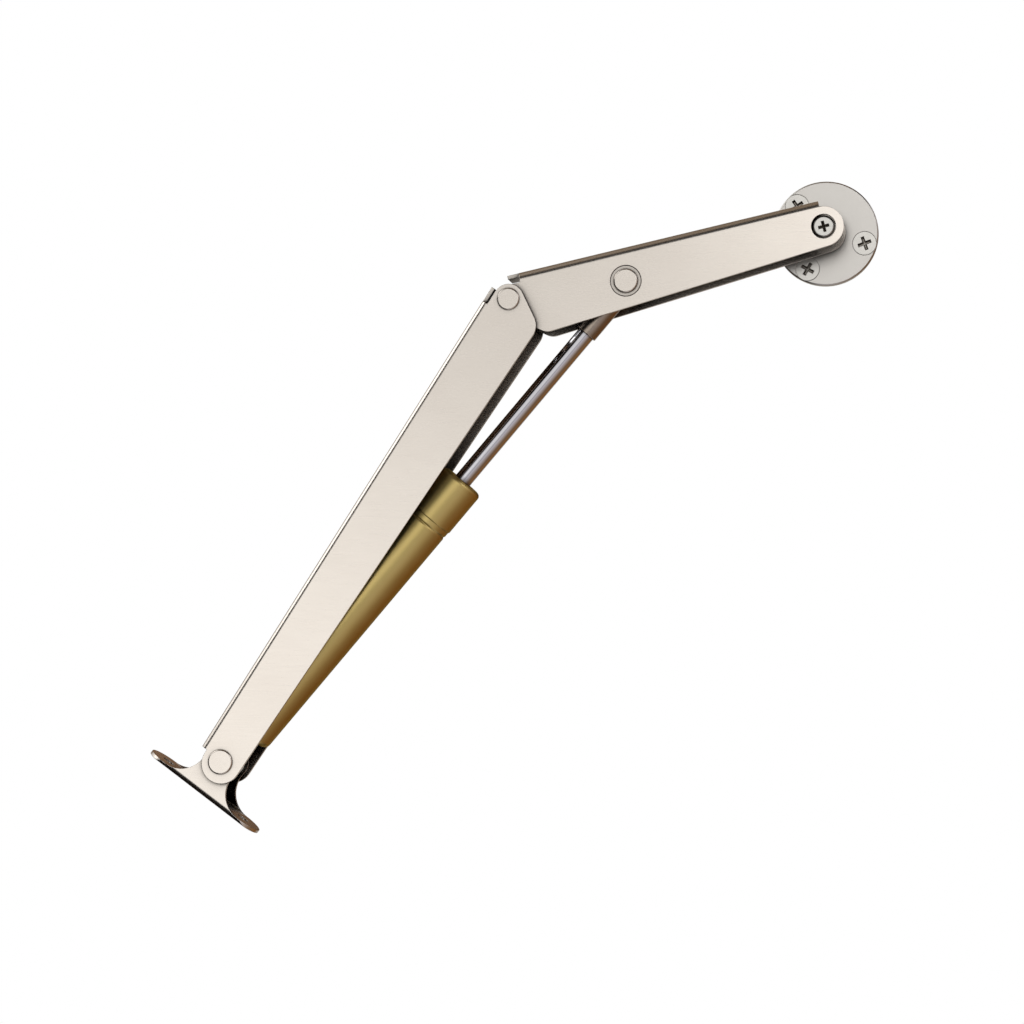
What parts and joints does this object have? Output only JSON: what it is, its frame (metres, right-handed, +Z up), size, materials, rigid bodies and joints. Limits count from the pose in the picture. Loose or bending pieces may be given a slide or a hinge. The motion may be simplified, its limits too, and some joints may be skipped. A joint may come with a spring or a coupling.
{
  "type": "lid stay",
  "caption": "Lid stay with two folding channel arms, an oil damper between them, a round screw-on base disc and a pivoting foot bracket.",
  "frame": {"origin": "centre of the base disc on its mounting face", "axes": "+Y points out of the mounting face into the cabinet side, +Z is up and +X runs to the right as seen with the arms in front"},
  "size_m": [0.245, 0.0352, 0.2204],
  "materials": {
    "nickel_sheet": "nickel-plated sheet steel, satin",
    "nickel_disc": "nickel-plated steel, fine satin",
    "screw_steel": "zinc-plated steel",
    "rivet_steel": "nickel-plated steel",
    "plain_steel": "machined steel",
    "rod_end_steel": "satin steel",
    "chromed_rod": "polished hard chrome",
    "gold_lacquer": "gold-coloured lacquer over steel tube",
    "bronze": "sintered bronze",
    "nylon": "natural nylon",
    "rubber": "black nitrile rubber"
  },
  "bodies": {
    "base": {"base_disc": "nickel_disc", "base_screws": "screw_steel", "pivot_washer": "nylon", "pivot_bush": "screw_steel", "pivot_screw": "screw_steel"},
    "upper_arm": {"upper_arm": "nickel_sheet", "damper_rivet": "rivet_steel"},
    "lower_arm": {"lower_arm": "nickel_sheet", "elbow_rivet": "rivet_steel", "foot_rivet": "rivet_steel", "tail_spacers": "nylon"},
    "foot": {"foot_bracket": "nickel_sheet"},
    "cylinder": {"tail_plug": "plain_steel", "tail_bush": "nylon", "plug_ring": "rubber", "damper_tube": "gold_lacquer", "head_cap": "gold_lacquer", "rod_guide": "bronze", "rod_seal": "rubber", "seal_washer": "plain_steel"},
    "rod": {"damper_rod": "chromed_rod", "piston": "plain_steel", "piston_ring": "nylon", "piston_nut": "plain_steel", "rod_end": "rod_end_steel", "rod_end_bush": "nylon"}
  },
  "joints": [
    {"name": "base_swivel", "type": "hinge", "parent": "base", "child": "upper_arm", "pos_m": [0, -0.0117, 0], "axis": [0, 1, 0], "continuous": true},
    {"name": "elbow", "type": "hinge", "parent": "upper_arm", "child": "lower_arm", "pos_m": [-0.10491, -0.0117, -0.02345], "axis": [0, 1, 0], "range_deg": [-80, 39]},
    {"name": "foot_pivot", "type": "hinge", "parent": "lower_arm", "child": "foot", "pos_m": [-0.20124, -0.0117, -0.17881], "axis": [0, 1, 0], "range_deg": [-65, 25]},
    {"name": "damper_swing", "type": "hinge", "parent": "lower_arm", "child": "cylinder", "pos_m": [-0.20124, -0.0117, -0.17881], "axis": [0, 1, 0], "range_deg": [-5, 10.25]},
    {"name": "damper_stroke", "type": "slide", "parent": "cylinder", "child": "rod", "axis": [0.6434, 0, 0.7655], "range_m": [-0.05365, 0.02618]}
  ],
  "couplings": [
    {"joint": "damper_swing", "follows": "elbow", "ratio": -0.128},
    {"joint": "damper_stroke", "follows": "elbow", "m_per_rad": 0.038388}
  ]
}
